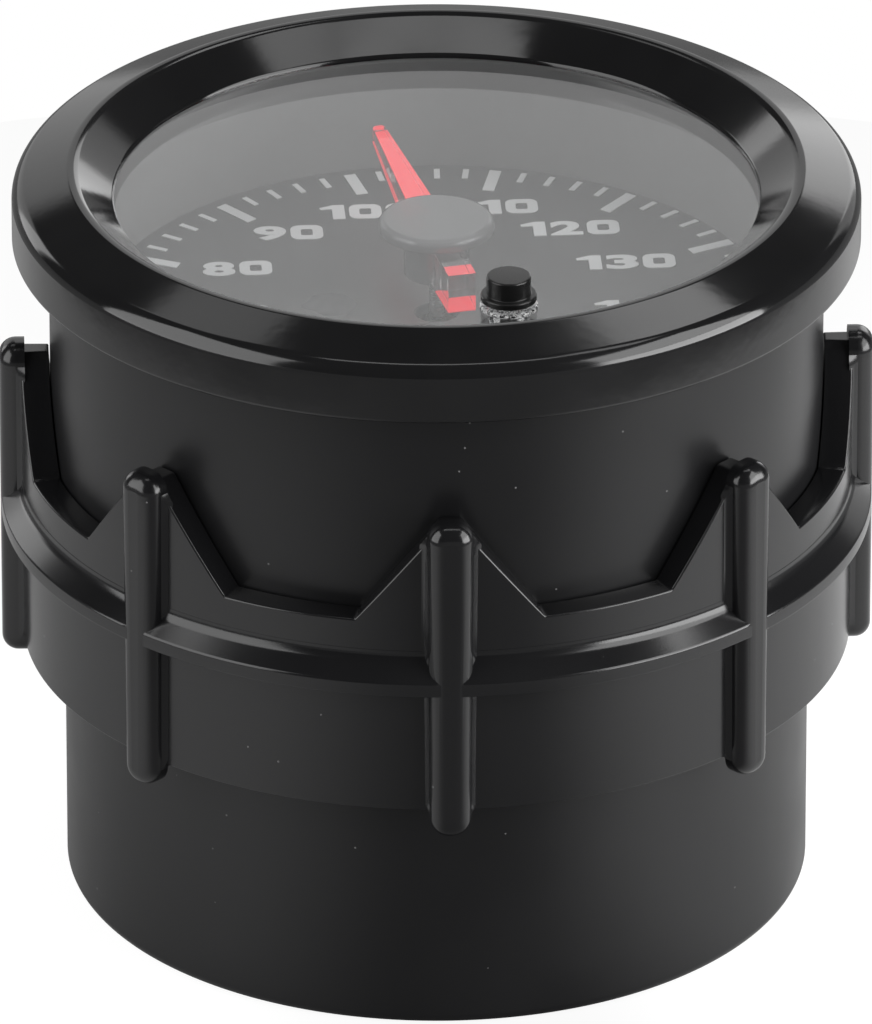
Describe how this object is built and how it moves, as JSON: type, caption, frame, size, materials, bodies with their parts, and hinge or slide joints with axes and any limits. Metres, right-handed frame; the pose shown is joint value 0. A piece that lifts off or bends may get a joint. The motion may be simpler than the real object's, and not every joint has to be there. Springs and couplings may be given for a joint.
{
  "type": "water temperature gauge",
  "caption": "Round panel-mounting water temperature gauge with bezel, clear lens, needle over a printed scale, push button, and a screw-on clamp ring with a crown-shaped edge.",
  "frame": {"origin": "centre of the can's flat back face", "axes": "+Z along the gauge's axis out of the dial, -Y towards six o'clock on the dial, +X towards three o'clock"},
  "size_m": [0.0588, 0.0588, 0.0518],
  "materials": {
    "can_black": "satin moulded black",
    "bezel_black": "satin black paint",
    "lens_clear": "clear polished",
    "gasket_rubber": "soft matt",
    "ring_black": "semi-gloss moulded black",
    "shroud_black": "matt",
    "dial_black": "matt screen print",
    "print_white": "white screen print",
    "needle_clear": "clear acrylic",
    "needle_red": "hot-stamped foil",
    "hub_black": "semi-gloss",
    "steel": "plain",
    "magnet_grey": "sintered",
    "former_cream": "moulded",
    "winding_copper": "enamelled wire",
    "bronze": "sintered bronze",
    "guide_clear": "clear acrylic",
    "reflector_white": "moulded white",
    "diode_cream": "resin",
    "board_green": "solder mask",
    "brass": "turned",
    "chip_black": "moulded epoxy",
    "sleeve_blue": "sleeved can",
    "socket_cream": "moulded",
    "stem_grey": "moulded",
    "button_black": "smooth",
    "collar_clear": "clear moulded"
  },
  "bodies": {
    "housing": {"can": "can_black", "bezel": "bezel_black", "lens": "lens_clear", "lens_gasket": "gasket_rubber", "dial_shroud": "shroud_black", "dial_plate": "dial_black", "dial_marks": "print_white", "front_former": "former_cream", "rear_former": "former_cream", "inner_coil": "winding_copper", "outer_coil": "winding_copper", "magnetic_shield": "steel", "movement_bridge": "former_cream", "spindle_bearings": "bronze", "movement_screws": "steel", "light_guide": "guide_clear", "reflector_tray": "reflector_white", "diodes": "diode_cream", "main_board": "board_green", "power_board": "board_green", "front_pillars": "brass", "rear_pillars": "brass", "board_screws": "steel", "rear_screws": "steel", "driver_chip": "chip_black", "voltage_regulator": "chip_black", "smoothing_capacitor": "sleeve_blue", "link_pins": "brass", "socket_housing": "socket_cream", "socket_pins": "brass", "switch_body": "chip_black", "button_collar": "collar_clear"},
    "pointer": {"needle": "needle_clear", "needle_foil": "needle_red", "hub_cap": "hub_black", "spindle": "steel", "rotor_magnet": "magnet_grey"},
    "button": {"button_cap": "button_black", "push_rod": "button_black", "switch_stem": "stem_grey"},
    "ring": {"clamp_ring": "ring_black"}
  },
  "joints": [
    {"name": "pointer_sweep", "type": "hinge", "parent": "housing", "child": "pointer", "pos_m": [0, 0, 0.04], "axis": [0, 0, -1], "range_deg": [-107.9, 128.3]},
    {"name": "button_press", "type": "slide", "parent": "housing", "child": "button", "axis": [0, 0, -1], "range_m": [0, 0.0003], "stiffness_N_per_m": 5300},
    {"name": "ring_travel", "type": "slide", "parent": "housing", "child": "ring", "axis": [0, 0, 1], "range_m": [-0.0127, 0.0067]}
  ]
}
